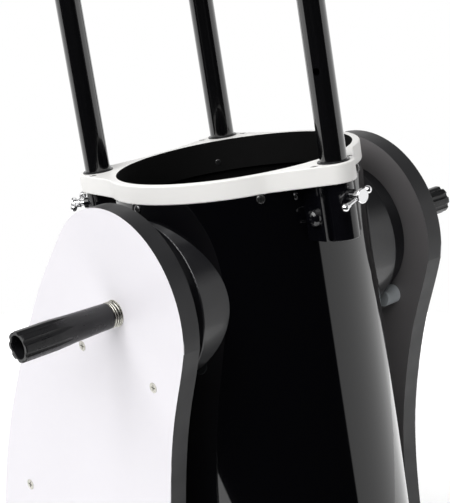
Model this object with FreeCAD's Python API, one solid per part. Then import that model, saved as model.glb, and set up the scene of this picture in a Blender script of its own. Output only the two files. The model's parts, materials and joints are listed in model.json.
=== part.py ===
# Collapsible three-rod Dobsonian telescope, 203 mm aperture, on a rocker box that turns on a ground board.
# Row frame: millimetres, +Z up, +X along the altitude axis to the right bearing, +Y to the front of the base.
# The origin is on the floor, on the azimuth axis. The tube is built upright in its own frame, with its
# origin on the altitude axis and +Z towards the sky, and is then leaned forward by TUBE_LEAN.
import FreeCAD, Part
import math
import os

V = FreeCAD.Vector
X_AXIS, Y_AXIS, Z_AXIS = V(1, 0, 0), V(0, 1, 0), V(0, 0, 1)

# ---- Driving dimensions: base ----
AXIS_HEIGHT = 590.0          # altitude axis above the floor
AXIS_BACK = 36.0             # altitude axis behind the azimuth axis
TUBE_LEAN = 13.78            # degrees that the tube leans forward at rest
FOOT_HEIGHT = 20.0
BOARD = 18.5                 # board with its facing
FACING = 0.8                 # white laminate on the outer faces
DISC_RADIUS = 255.0          # ground board and azimuth board
GLIDE_HEIGHT = 4.5
RUNNING_GAP = 0.3            # between bodies that pass each other
PANEL_OUTER_X = 165.8        # outer face of the side panels
PANEL_HEAD_RADIUS = 99.6
FRONT_PANEL_BACK_Y = 152.0   # from the altitude axis
FRONT_PANEL_TOP_Z = -180.0   # from the altitude axis

# ---- Driving dimensions: tube ----
TUBE_RADIUS = 121.3
TUBE_WALL = 1.2
TUBE_REAR_Z = -486.0
RING_TOP_Z = 109.5           # sky side of the lower rod ring
RING_HEIGHT = 18.0
RING_RADIUS = 122.2
RING_OPENING = 115.0
ROD_CIRCLE = 141.0
ROD_ANGLES = {"rear": -90.0, "right": 55.0, "left": 125.0}
ROD_RADIUS = 12.5
ROD_FIT = 0.05               # radial clearance of the rods in their bushes
ROD_LOWER_Z = 44.0
SLEEVE_DEPTH = 53.0          # rod sleeve below the ring
UPPER_RING_Z = 479.0         # underside of the upper rod ring
TOP_Z = 664.0                # sky end of the upper tube
FOCUSER_Z = 554.0
FOCUSER_ANGLE = -150.0
FINDER_ANGLE = -112.0
FOCAL_LENGTH = 1200.0
MIRROR_RADIUS = 101.6

# ---- Driving dimensions: altitude bearings ----
DRUM_FLANGE_RADIUS = 77.7
DRUM_FLANGE_X = 124.5
DRUM_RADIUS = 68.0
DRUM_END_X = 146.5
SUPPORT_RADIUS = 9.5
SUPPORT_LENGTH = 17.0
STUD_RADIUS = 5.0
THREAD_FIT = 0.05
HANDLE_START = 8.7           # from the panel's outer face
HANDLE_LENGTH = 98.0

# ---- Worked out from the driving dimensions ----
PANEL_INNER_X = PANEL_OUTER_X - BOARD
GROUND_TOP = FOOT_HEIGHT + BOARD
AZIMUTH_BOTTOM = GROUND_TOP + GLIDE_HEIGHT + RUNNING_GAP
AZIMUTH_TOP = AZIMUTH_BOTTOM + BOARD
TUBE_BORE = TUBE_RADIUS - TUBE_WALL
SUPPORT_CIRCLE = DRUM_RADIUS + SUPPORT_RADIUS + RUNNING_GAP
UPPER_RING_TOP = UPPER_RING_Z + RING_HEIGHT


# ---- Shape helpers ----
def cylinder(radius, length, base=V(0, 0, 0), axis=Z_AXIS):
    return Part.makeCylinder(radius, length, base, axis)


def pipe(outer, inner, length, base=V(0, 0, 0), axis=Z_AXIS):
    return cylinder(outer, length, base, axis).cut(cylinder(inner, length, base, axis))


def block(low, high):
    return Part.makeBox(high[0] - low[0], high[1] - low[1], high[2] - low[2], V(*low))


def fuse(shapes):
    return shapes[0].multiFuse(shapes[1:]).removeSplitter() if len(shapes) > 1 else shapes[0]


def lathe(profile, base=V(0, 0, 0), axis=Z_AXIS):
    """Turns (radius, height) points about an axis through base."""
    points = [V(r, 0, h) for r, h in profile]
    turned = Part.Face(Part.makePolygon(points + points[:1])).revolve(V(0, 0, 0), Z_AXIS, 360)
    turned.Placement = FreeCAD.Placement(base, FreeCAD.Rotation(Z_AXIS, axis))
    return turned


def turn_z(shape, degrees):
    turned = shape.copy()
    turned.rotate(V(0, 0, 0), Z_AXIS, degrees)
    return turned


def polar(radius, degrees, z=0.0):
    a = math.radians(degrees)
    return V(radius * math.cos(a), radius * math.sin(a), z)


def mirrored_x(shape):
    return shape.mirror(V(0, 0, 0), X_AXIS)


def rounded(shape, radius, wanted):
    """Fillets the edges that wanted(edge) picks."""
    return shape.makeFillet(radius, [e for e in shape.Edges if wanted(e)])


def flat_edges(z_values):
    """Picks edges that lie in one of the given horizontal planes."""
    def wanted(edge):
        box = edge.BoundBox
        return box.ZLength < 1e-4 and any(abs(box.ZMin - z) < 1e-4 for z in z_values)
    return wanted


def lean(shape):
    """Moves a shape from the tube's frame to the row frame."""
    placed = shape.copy()
    placed.rotate(V(0, 0, 0), X_AXIS, -TUBE_LEAN)
    placed.translate(V(0, -AXIS_BACK, AXIS_HEIGHT))
    return placed


def from_axis(shape):
    """Moves a shape from an upright frame on the altitude axis to the row frame."""
    placed = shape.copy()
    placed.translate(V(0, -AXIS_BACK, AXIS_HEIGHT))
    return placed


def without(shape, others):
    """Cuts the space of each of the others out of a solid, and drops what is left inside their slots."""
    return max(shape.cut(Part.makeCompound(others)).Solids, key=lambda solid: solid.Volume)


# ---- Fasteners ----
def pan_screw(shank, length, base, axis, head=None, head_height=None):
    """A domed screw: the shank runs from base along axis and the head is on the other side of base."""
    head = head or shank * 1.9
    height = head_height or shank * 1.2
    profile = [(0, -length), (shank, -length), (shank, 0), (head, 0), (head, height * 0.4),
               (head * 0.82, height * 0.8), (head * 0.45, height), (0, height)]
    screw = lathe(profile, base, axis.negative())
    slots = [block((-head * 0.55, -shank * 0.18, height * 0.45), (head * 0.55, shank * 0.18, height * 1.1)),
             block((-shank * 0.18, -head * 0.55, height * 0.45), (shank * 0.18, head * 0.55, height * 1.1))]
    cross = fuse(slots)
    cross.Placement = FreeCAD.Placement(base, FreeCAD.Rotation(Z_AXIS, axis.negative()))
    return screw.cut(cross)


def countersunk_screw(shank, length, base, axis, head=None, proud=0.0):
    """A flush screw: base is the middle of its face, and it runs into the work along axis."""
    head = head or shank * 2.0
    top = proud + 0.01
    profile = [(0, -length), (shank, -length), (shank, shank - head), (head, 0), (head, top), (0, top)]
    screw = lathe(profile, base, axis.negative())
    width, reach, depth = shank * 0.2, head * 0.6, shank * 0.7
    slots = [block((-reach, -width, -depth), (reach, width, proud + 1)),
             block((-width, -reach, -depth), (width, reach, proud + 1))]
    cross = fuse(slots)
    cross.Placement = FreeCAD.Placement(base, FreeCAD.Rotation(Z_AXIS, axis.negative()))
    return screw.cut(cross)


def hex_prism(across, height, base, axis=Z_AXIS):
    corners = [polar(across / math.sqrt(3), 60 * i) for i in range(7)]
    prism = Part.Face(Part.makePolygon(corners)).extrude(V(0, 0, height))
    prism.Placement = FreeCAD.Placement(base, FreeCAD.Rotation(Z_AXIS, axis))
    return prism


def fluted_knob(radius, height, flutes, flute_radius, base, axis):
    """A round knob with flutes cut along its side and a softened rim."""
    rim = min(1.2, height * 0.2)
    body = lathe([(0, 0), (radius - rim, 0), (radius, rim), (radius, height - rim), (radius - rim, height),
                  (0, height)])
    cutters = [cylinder(flute_radius, height + 2, polar(radius + flute_radius * 0.62, 360.0 * i / flutes, -1))
               for i in range(flutes)]
    knob = without(body, cutters)
    knob.Placement = FreeCAD.Placement(base, FreeCAD.Rotation(Z_AXIS, axis))
    return knob


def coil_spring(radius, wire, rise, turns, base, axis=Z_AXIS):
    """Closed coil rings joined in a stack: one torus for each turn, a wire's width or more apart."""
    rings = [Part.makeTorus(radius, wire, base + axis * (wire + i * rise), axis) for i in range(turns)]
    strut_length = rise * (turns - 1)
    side = axis.cross(Y_AXIS if abs(axis.dot(Y_AXIS)) < 0.9 else X_AXIS).normalize()
    strut = cylinder(wire * 0.8, strut_length, base + axis * wire + side * radius, axis)
    return fuse(rings + [strut])


# ---- Ground base ----
FOOT_CIRCLE = 215.0
FOOT_ANGLES = (90.0, 210.0, 330.0)
PIVOT_RADIUS = 5.0


def make_ground_base():
    feet = [lathe([(0, 0), (20, 0), (23, 3), (25, FOOT_HEIGHT), (0, FOOT_HEIGHT)], polar(FOOT_CIRCLE, a))
            for a in FOOT_ANGLES]
    pads = []
    for angle in FOOT_ANGLES:
        pad = block((FOOT_CIRCLE - 18, -30, GROUND_TOP), (FOOT_CIRCLE + 18, 30, GROUND_TOP + GLIDE_HEIGHT))
        pad = rounded(pad, 1.0, flat_edges([GROUND_TOP + GLIDE_HEIGHT]))
        pads.append(turn_z(pad, angle))
    head_height, washer, nut = 7.0, 2.0, 6.0
    bolt_top = AZIMUTH_TOP + RUNNING_GAP + washer + nut + 1.0
    head = hex_prism(17.0, head_height, V(0, 0, FOOT_HEIGHT - head_height))
    bolt = fuse([head, cylinder(PIVOT_RADIUS, bolt_top - FOOT_HEIGHT, V(0, 0, FOOT_HEIGHT))])
    washer_z = AZIMUTH_TOP + RUNNING_GAP
    washer_ring = pipe(15.0, PIVOT_RADIUS, washer, V(0, 0, washer_z))
    nut_ring = hex_prism(17.0, nut, V(0, 0, washer_z + washer))
    nut_ring = nut_ring.cut(cylinder(PIVOT_RADIUS, 20, V(0, 0, washer_z)))
    board = lathe([(0, FOOT_HEIGHT), (DISC_RADIUS - 1.5, FOOT_HEIGHT), (DISC_RADIUS, FOOT_HEIGHT + 1.5),
                   (DISC_RADIUS, GROUND_TOP - 1.5), (DISC_RADIUS - 1.5, GROUND_TOP), (0, GROUND_TOP)])
    return {
        "ground_board": [board.cut(cylinder(PIVOT_RADIUS, BOARD, V(0, 0, FOOT_HEIGHT)))],
        "rubber_feet": feet,
        "glide_pads": pads,
        "azimuth_pivot_bolt": [bolt, washer_ring, nut_ring],
    }


# ---- Rocker box ----
SUPPORT_ANGLES = (-45.0, -135.0)
BASE_Z = AZIMUTH_TOP - AXIS_HEIGHT     # bottom of the side panels, from the altitude axis
FRONT_EDGE = [(86.3, 49.8), (108.7, 12.2), (144.8, -61.3), (173.6, -135.2), (199.8, -221.0), (216.0, -320.0),
              (222.0, -430.0)]
REAR_EDGE = [(-99.5, -4.3), (-95.8, -25.7), (-86.3, -70.2), (-78.5, -140.0), (-78.0, -200.0), (-90.0, -290.0),
             (-114.0, -390.0), (-140.0, -470.0)]
REAR_FOOT_Y = -150.0


def panel_face(x):
    """The side panel's outline in the plane X = x: a round head, a long front slope and a flared rear edge."""
    front = Part.BSplineCurve()
    front.interpolate(Points=[V(x, y, z) for y, z in FRONT_EDGE],
                      InitialTangent=V(0, 0.5, -0.866), FinalTangent=V(0, 0, -1))
    rear = Part.BSplineCurve()
    rear.interpolate([V(x, y, z) for y, z in REAR_EDGE])
    head = Part.Arc(V(x, *FRONT_EDGE[0]), V(x, 0, PANEL_HEAD_RADIUS), V(x, *REAR_EDGE[0]))
    front_foot, rear_foot = V(x, FRONT_EDGE[-1][0], BASE_Z), V(x, REAR_FOOT_Y, BASE_Z)
    edges = [head.toShape(), front.toShape(), rear.toShape(),
             Part.LineSegment(V(x, *FRONT_EDGE[-1]), front_foot).toShape(),
             Part.LineSegment(front_foot, rear_foot).toShape(),
             Part.LineSegment(rear_foot, V(x, *REAR_EDGE[-1])).toShape()]
    return Part.Face(Part.Wire(Part.__sortEdges__(edges)))


def make_rocker_box():
    core = BOARD - FACING
    hole = cylinder(STUD_RADIUS + 1.5, 400, V(-200, 0, 0), X_AXIS)
    panel_right = panel_face(PANEL_INNER_X).extrude(V(core, 0, 0)).cut(hole)
    facing_right = panel_face(PANEL_INNER_X + core).extrude(V(FACING, 0, 0)).cut(hole)

    supports, support_screws = [], []
    for angle in SUPPORT_ANGLES:
        a = math.radians(angle)
        y, z = SUPPORT_CIRCLE * math.cos(a), SUPPORT_CIRCLE * math.sin(a)
        support = lathe([(0, 0), (SUPPORT_RADIUS - 0.8, 0), (SUPPORT_RADIUS, 0.8),
                         (SUPPORT_RADIUS, SUPPORT_LENGTH), (0, SUPPORT_LENGTH)],
                        V(PANEL_INNER_X - SUPPORT_LENGTH, y, z), X_AXIS)
        screw = countersunk_screw(2.5, BOARD + 12.0, V(PANEL_OUTER_X, y, z), X_AXIS.negative(), proud=0.3)
        supports.append(support.cut(screw))
        support_screws.append(screw)

    front_y = FRONT_PANEL_BACK_Y + BOARD / 2
    panel_screws = [countersunk_screw(2.8, 55.0, V(PANEL_OUTER_X, front_y, z), X_AXIS.negative(), proud=0.3)
                    for z in (-260.0, -380.0, -500.0)]
    board_screws = [countersunk_screw(2.8, 50.0, V(PANEL_OUTER_X - BOARD / 2, y, BASE_Z - BOARD), Z_AXIS)
                    for y in (-120.0, 40.0, 190.0)]
    right_screws = support_screws + panel_screws
    panel_right = without(panel_right, right_screws + board_screws)
    facing_right = without(facing_right, right_screws)

    low_y, inner_x = FRONT_PANEL_BACK_Y, PANEL_INNER_X
    front = block((-inner_x, low_y, BASE_Z), (inner_x, low_y + core, FRONT_PANEL_TOP_Z))
    front_facing = block((-inner_x, low_y + core, BASE_Z), (inner_x, low_y + BOARD, FRONT_PANEL_TOP_Z))
    all_screws = right_screws + [mirrored_x(s) for s in right_screws]
    all_board_screws = board_screws + [mirrored_x(s) for s in board_screws]
    fixtures = make_front_fixtures(low_y + BOARD)
    front = without(front, all_screws + fixtures["screws"])
    front_facing = without(front_facing, all_screws + fixtures["screws"])

    bush = pipe(9.0, PIVOT_RADIUS + THREAD_FIT, BOARD, V(0, AXIS_BACK, BASE_Z - BOARD))
    board_low, board_high = BASE_Z - BOARD, BASE_Z
    azimuth_board = lathe([(9.0, board_low), (DISC_RADIUS - 1.5, board_low), (DISC_RADIUS, board_low + 1.5),
                           (DISC_RADIUS, board_high - 1.5), (DISC_RADIUS - 1.5, board_high), (9.0, board_high)],
                          V(0, AXIS_BACK, 0))

    washer = pipe(13.0, STUD_RADIUS + 1.0, 1.2, V(PANEL_OUTER_X, 0, 0), X_AXIS)
    spring = coil_spring(12.2, 1.1, 2.45, 3, V(PANEL_OUTER_X + 1.2, 0, 0), X_AXIS)
    nodes = {
        "azimuth_board": [without(azimuth_board, all_board_screws)],
        "pivot_bush": [bush],
        "side_panel_right": [panel_right],
        "side_panel_left": [mirrored_x(panel_right)],
        "panel_facings": [facing_right, mirrored_x(facing_right), front_facing],
        "front_panel": [front],
        "support_cylinders": supports + [mirrored_x(s) for s in supports],
        "rocker_screws": all_screws + all_board_screws + fixtures["screws"],
        "tension_springs": [spring, washer, mirrored_x(spring), mirrored_x(washer)],
        "carry_handle": fixtures["carry_handle"],
        "eyepiece_rack": fixtures["eyepiece_rack"],
    }
    return {name: [from_axis(s) for s in solids] for name, solids in nodes.items()}


RACK_Z = -370.0               # underside of the shelf, from the altitude axis
RACK_HOLES = ((-66.0, 16.5), (-22.0, 16.5), (22.0, 16.5), (74.0, 26.0))
HANDLE_Z = -225.0


def make_front_fixtures(face_y):
    """The carry handle and the eyepiece rack on the front panel's face."""
    half, reach, bar, corner = 55.0, 34.0, 8.0, 14.0
    on_arc = corner * (1 - math.sqrt(0.5))

    def spot(x, out):
        return V(x, face_y + out, HANDLE_Z)
    path = Part.Wire([
        Part.LineSegment(spot(-half, 0), spot(-half, reach - corner)).toShape(),
        Part.Arc(spot(-half, reach - corner), spot(-half + on_arc, reach - on_arc),
                 spot(-half + corner, reach)).toShape(),
        Part.LineSegment(spot(-half + corner, reach), spot(half - corner, reach)).toShape(),
        Part.Arc(spot(half - corner, reach), spot(half - on_arc, reach - on_arc),
                 spot(half, reach - corner)).toShape(),
        Part.LineSegment(spot(half, reach - corner), spot(half, 0)).toShape()])
    grip = path.makePipeShell([Part.Wire(Part.makeCircle(bar, spot(-half, 0), Y_AXIS))], True, False)
    foot_plates = []
    for x in (-half - 12.0, half + 12.0):
        plate = block((x - 26.0, face_y, HANDLE_Z - 13.0), (x + 26.0, face_y + 4.0, HANDLE_Z + 13.0))
        foot_plates.append(plate.makeFillet(5.0, [e for e in plate.Edges if e.BoundBox.YLength > 3.9]))
    handle = fuse([grip] + foot_plates)
    screw_spots = [(x, HANDLE_Z, 4.0) for x in (-half - 27.0, half + 27.0)]

    depth, sheet, width, lip = 62.0, 2.0, 105.0, 34.0
    shelf = block((-width, face_y, RACK_Z), (width, face_y + depth, RACK_Z + sheet))
    back = block((-width, face_y, RACK_Z - lip), (width, face_y + sheet, RACK_Z))
    shelf = shelf.makeFillet(12.0, [e for e in shelf.Edges
                                    if e.BoundBox.ZLength > 1 and e.BoundBox.YMin > face_y + 1])
    holes = [cylinder(r, sheet, V(x, face_y + depth / 2 + 2, RACK_Z)) for x, r in RACK_HOLES]
    screw_spots += [(x, RACK_Z - lip / 2, sheet) for x in (-80.0, 80.0)]

    screws = [pan_screw(2.5, 16.0, V(x, face_y + t, z), Y_AXIS.negative(), head=4.8, head_height=2.6)
              for x, z, t in screw_spots]
    return {
        "carry_handle": [without(handle, screws)],
        "eyepiece_rack": [without(shelf, holes), without(back, screws)],
        "screws": screws,
    }


# ---- Rod rings, sleeves and rods ----
LOBE_RADIUS = 19.0
LOBE_ANGLE = 47.3            # the lobe's straight sides, from the radial direction's normal
LOBE_SIDE = 66.0
LOBE_BLEND = 30.0
LOBE_SCREW_X = 21.5
LOBE_SCREW_OUT = -2.5
BUSH_RADIUS = 14.4


def lobed_plate(z, height):
    """A round plate with a pointed lobe at each rod, blended into the circle."""
    plate = cylinder(RING_RADIUS, height, V(0, 0, z))
    lobes = []
    a = math.radians(LOBE_ANGLE)
    out = V(math.sin(a), -math.cos(a), 0)
    tangent = V(out.x * LOBE_RADIUS, -ROD_CIRCLE + out.y * LOBE_RADIUS, z)
    inner = tangent + V(math.cos(a), math.sin(a), 0) * LOBE_SIDE
    corners = [tangent, inner, V(-inner.x, inner.y, z), V(-tangent.x, tangent.y, z), tangent]
    wedge = Part.Face(Part.makePolygon(corners)).extrude(V(0, 0, height))
    nose = cylinder(LOBE_RADIUS, height, V(0, -ROD_CIRCLE, z))
    for angle in ROD_ANGLES.values():
        lobes += [turn_z(wedge, angle + 90), turn_z(nose, angle + 90)]
    plate = fuse([plate] + lobes)

    def concave(edge):
        box = edge.BoundBox
        middle = math.hypot(box.Center.x, box.Center.y)
        return box.ZLength > height - 0.1 and box.XLength < 0.1 and abs(middle - RING_RADIUS) < 0.3
    return rounded(plate, LOBE_BLEND, concave)


def lobe_points(offset_x, outward):
    """Points beside each rod: offset_x across the radius and outward along it."""
    points = []
    for angle in ROD_ANGLES.values():
        across = polar(offset_x, angle + 90)
        points.append(polar(ROD_CIRCLE + outward, angle) + across)
    return points


def rod_ring(z, height, skirt_low, skirt_high):
    """A cast ring: lobed plate, with a skirt inside the tube."""
    plate = lobed_plate(z, height)
    plate = rounded(plate, 1.3, lambda e: flat_edges([z, z + height])(e))
    skirt = cylinder(TUBE_BORE, skirt_high - skirt_low, V(0, 0, skirt_low))
    opening = cylinder(RING_OPENING, 200, V(0, 0, z - 100))
    return fuse([plate, skirt]).cut(opening)


SLEEVE_NOSE = 15.0
WING_FRONT = 141.3           # front plane of the sleeve's block, from the tube's axis
WING_HALF = 23.0
BLOCK_BOTTOM_LIFT = 2.0
SIDE_KNOB_Z = -47.0          # these heights are from the sky side of the ring
LOCK_Z = -30.4
TUBE_SCREW_Z = -22.0
LOCK_TIP = 0.4               # gap between the clamp screw's tip and the rod
LOCK_BAR_OUT = 15.6          # tommy bar's middle line, from the screw's tip
LOCK_BAR_LOW, LOCK_BAR_HIGH = 20.6, 10.3
LOCK_TILTS = {"rear": 17.6, "right": 17.6, "left": -12.5}
LOBE_RECESS_RADIUS, LOBE_RECESS = 3.9, 0.3
TUBE_SCREW_ANGLES = (0.0, 60.0, 120.0, 180.0, -120.0, -60.0)
BEHIND_SLEEVES = (60.0, 120.0)     # these two go in from inside the ring
TUBE_SCREW_LENGTH = TUBE_RADIUS - RING_OPENING - 1.5


def sleeve_at_rear():
    """The rod sleeve at the rear rod: a round nose and a winged block that seats on the tube."""
    top = RING_TOP_Z - RING_HEIGHT
    bottom = top - SLEEVE_DEPTH
    block_bottom = bottom + BLOCK_BOTTOM_LIFT
    nose = rounded(cylinder(SLEEVE_NOSE, SLEEVE_DEPTH, V(0, -ROD_CIRCLE, bottom)), 1.0, flat_edges([bottom]))
    body = block((-WING_HALF, -WING_FRONT, block_bottom), (WING_HALF, -100, top))
    body = rounded(body, 1.2, lambda e: e.BoundBox.ZLength > 10 and e.BoundBox.YMax < -WING_FRONT + 1)
    boss = cylinder(5.5, 6.0, V(0, -ROD_CIRCLE - SLEEVE_NOSE + 2.0, RING_TOP_Z + LOCK_Z), Y_AXIS.negative())
    sleeve = fuse([nose, body, boss])
    cuts = [cylinder(TUBE_RADIUS, 300, V(0, 0, bottom - 50)),
            cylinder(ROD_RADIUS + 0.8, 200, V(0, -ROD_CIRCLE, bottom - 50)),
            cylinder(BUSH_RADIUS - 0.6, 8.0, V(0, -ROD_CIRCLE, top - 8.0)),
            cylinder(3.0 + THREAD_FIT, 60, V(0, -ROD_CIRCLE, RING_TOP_Z + LOCK_Z), Y_AXIS.negative())]
    return without(sleeve, cuts)


def side_knob_at_rear():
    """The round-headed click knob on the sleeve's side."""
    base = V(-WING_HALF, -ROD_CIRCLE + 9.0, RING_TOP_Z + SIDE_KNOB_Z)
    profile = [(0, -6), (3, -6), (3, 0), (8, 0), (8, 2.5), (7.2, 4.6), (5.2, 6.2), (2.8, 7.0), (0, 7.2)]
    return lathe(profile, base, X_AXIS.negative())


def tommy_bar(length, bar=1.6, collar=2.5, ball=3.7):
    """A turned bar along +Z with a collar and a ball at each end; the balls' middles are at 0 and length."""
    collar_start, collar_end = math.sqrt(ball ** 2 - collar ** 2), 5.0
    corners = [V(collar, 0, collar_start), V(collar, 0, collar_end), V(bar, 0, collar_end),
               V(bar, 0, length - collar_end), V(collar, 0, length - collar_end),
               V(collar, 0, length - collar_start)]
    low_pole, high_pole = V(0, 0, -ball), V(0, 0, length + ball)
    edges = [Part.Arc(low_pole, V(ball, 0, 0), corners[0]).toShape()]
    edges += [Part.LineSegment(a, b).toShape() for a, b in zip(corners, corners[1:])]
    edges += [Part.Arc(corners[-1], V(ball, 0, length), high_pole).toShape(),
              Part.LineSegment(high_pole, low_pole).toShape()]
    return Part.Face(Part.Wire(edges)).revolve(V(0, 0, 0), Z_AXIS, 360)


def lock_bolt_at_rear(tilt):
    """A radial clamp screw with a disc head and a tommy bar with ball ends, turned by tilt degrees."""
    base = V(0, -ROD_CIRCLE - ROD_RADIUS - LOCK_TIP, RING_TOP_Z + LOCK_Z)
    out = Y_AXIS.negative()
    screw = lathe([(0, 0), (2.2, 0), (3.0, 0.8), (3.0, 10.5), (4.4, 11.3), (4.4, 17.5), (6.9, 17.5), (6.9, 18.8),
                   (6.1, 19.5), (0, 19.5)], base, out)
    screw.rotate(base, out, 90)
    a = math.radians(tilt)
    along = V(math.cos(a), 0, math.sin(a))
    bar = tommy_bar(LOCK_BAR_LOW + LOCK_BAR_HIGH)
    bar.Placement = FreeCAD.Placement(base + out * LOCK_BAR_OUT - along * LOCK_BAR_LOW,
                                      FreeCAD.Rotation(Z_AXIS, along))
    return fuse([screw, bar])


def three_ways(shape):
    """Copies a shape made at the rear rod to every rod."""
    return [turn_z(shape, angle + 90) for angle in ROD_ANGLES.values()]


def truss_rod(angle):
    """A closed tube, with a click hole near its upper part."""
    low, high = ROD_LOWER_Z, UPPER_RING_TOP - 3.0
    rod = pipe(ROD_RADIUS, ROD_RADIUS - 1.5, high - low, polar(ROD_CIRCLE, angle, low))
    caps = [cylinder(ROD_RADIUS - 1.5, 3.0, polar(ROD_CIRCLE, angle, z)) for z in (low, high - 3.0)]
    rod = fuse([rod] + caps)
    outward = polar(1, angle - 62)
    hole = cylinder(3.2, 30, polar(ROD_CIRCLE, angle, RING_TOP_Z + 83.0), outward)
    return rod.cut(hole)


# ---- Lower tube ----
CELL_ANGLES = (90.0, 210.0, 330.0)
CELL_SCREW_CIRCLE = 78.0
CELL_PLATE_Z = -488.0
CELL_PLATE = 5.0
MIRROR_THICKNESS = 27.0


def mirror_face_z():
    """The primary's face is one focal length from the focal plane, folded at the focuser."""
    focal_plane_radius = 205.0
    return FOCUSER_Z - (FOCAL_LENGTH - focal_plane_radius)


def make_mirror_cell():
    face = mirror_face_z()
    sag = MIRROR_RADIUS ** 2 / (4 * FOCAL_LENGTH)
    back = face - MIRROR_THICKNESS
    curve_radius = 2 * FOCAL_LENGTH
    blank = lathe([(0, back), (MIRROR_RADIUS - 1, back), (MIRROR_RADIUS, back + 1),
                   (MIRROR_RADIUS, face + sag), (0, face + sag)])
    mirror = blank.cut(Part.makeSphere(curve_radius, V(0, 0, face + curve_radius)))

    cell_low, cell_high = back - 9.0, back - 2.0
    cell = pipe(MIRROR_RADIUS - 3, 62.0, cell_high - cell_low, V(0, 0, cell_low))
    spokes = [turn_z(block((-12, 0, cell_low), (12, 70, cell_high)), a - 90) for a in CELL_ANGLES]
    pads = [cylinder(9.0, 2.0, polar(72.0, a, cell_high)) for a in CELL_ANGLES]
    ears = [turn_z(block((-10, 90, cell_low), (10, MIRROR_RADIUS + 9, cell_high)), a - 90) for a in CELL_ANGLES]
    cell = fuse([cell, cylinder(22.0, cell_high - cell_low, V(0, 0, cell_low))] + spokes + pads + ears)

    clips = []
    for angle in CELL_ANGLES:
        post = block((-7, MIRROR_RADIUS + 0.6, cell_high), (7, MIRROR_RADIUS + 8, face + sag + 4))
        lip = block((-7, MIRROR_RADIUS - 5, face + sag + 1), (7, MIRROR_RADIUS + 8, face + sag + 4))
        clips.append(turn_z(fuse([post, lip]), angle - 90))

    ring_low = TUBE_REAR_Z - 6.0
    end_ring = lathe([(107, ring_low), (123.5, ring_low), (125, ring_low + 1.5), (125, TUBE_REAR_Z + 14),
                      (TUBE_RADIUS, TUBE_REAR_Z + 14), (TUBE_RADIUS, TUBE_REAR_Z), (TUBE_BORE, TUBE_REAR_Z),
                      (TUBE_BORE, TUBE_REAR_Z + 6), (107, TUBE_REAR_Z + 6)])
    arm_low, arm_high = ring_low, ring_low + CELL_PLATE
    arms = [turn_z(block((-16, 0, arm_low), (16, 110, arm_high)), a - 90) for a in CELL_ANGLES]
    back_plate = fuse([end_ring, cylinder(34.0, CELL_PLATE, V(0, 0, arm_low))] + arms)
    back_plate = back_plate.cut(cylinder(18.0, 60, V(0, 0, arm_low - 20)))

    bolt_low = arm_low - 9.0
    knobs, lock_screws, springs = [], [], []
    for angle in CELL_ANGLES:
        spot = polar(CELL_SCREW_CIRCLE, angle)
        knob = fluted_knob(10.0, 8.0, 8, 2.6, spot + V(0, 0, bolt_low), Z_AXIS)
        shank = cylinder(3.0, cell_low + 6.0 - bolt_low - 4, spot + V(0, 0, bolt_low + 4))
        knobs.append(fuse([knob, shank]))
        springs.append(coil_spring(5.6, 0.9, 2.6, 4, spot + V(0, 0, arm_high)))
        spot = polar(CELL_SCREW_CIRCLE, angle + 13.5)
        lock = fuse([fluted_knob(5.5, 6.0, 6, 1.6, spot + V(0, 0, bolt_low + 2.5), Z_AXIS),
                     cylinder(2.5, cell_low - bolt_low - 4, spot + V(0, 0, bolt_low + 4))])
        lock_screws.append(lock)
    clear_holes = [cylinder(3.0 + THREAD_FIT, 100, polar(CELL_SCREW_CIRCLE, a, -540)) for a in CELL_ANGLES]
    back_plate = without(back_plate, clear_holes + lock_screws)
    cell = without(cell, clear_holes)
    nodes = {
        "primary_mirror": [mirror],
        "mirror_cell": [cell],
        "mirror_clips": clips,
        "cell_end_ring": [back_plate],
        "cell_lock_screws": lock_screws,
        "collimation_springs": springs,
    }
    for number, knob in enumerate(knobs, 1):
        nodes["collimation_knob_%d" % number] = [knob]
    return nodes


def altitude_drum():
    """The right bearing: a wide flange seated on the tube and a running drum with a blind threaded hole."""
    flange = cylinder(DRUM_FLANGE_RADIUS, DRUM_FLANGE_X - 90, V(90, 0, 0), X_AXIS)
    flange = flange.makeFillet(1.5, [e for e in flange.Edges if e.BoundBox.XMin > DRUM_FLANGE_X - 0.01])
    drum = cylinder(DRUM_RADIUS, DRUM_END_X - DRUM_FLANGE_X, V(DRUM_FLANGE_X, 0, 0), X_AXIS)
    drum = drum.makeChamfer(1.0, [e for e in drum.Edges if e.BoundBox.XMin > DRUM_END_X - 0.01])
    return fuse([flange, drum]).cut(cylinder(TUBE_RADIUS, 400, V(0, 0, -200)))


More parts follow.
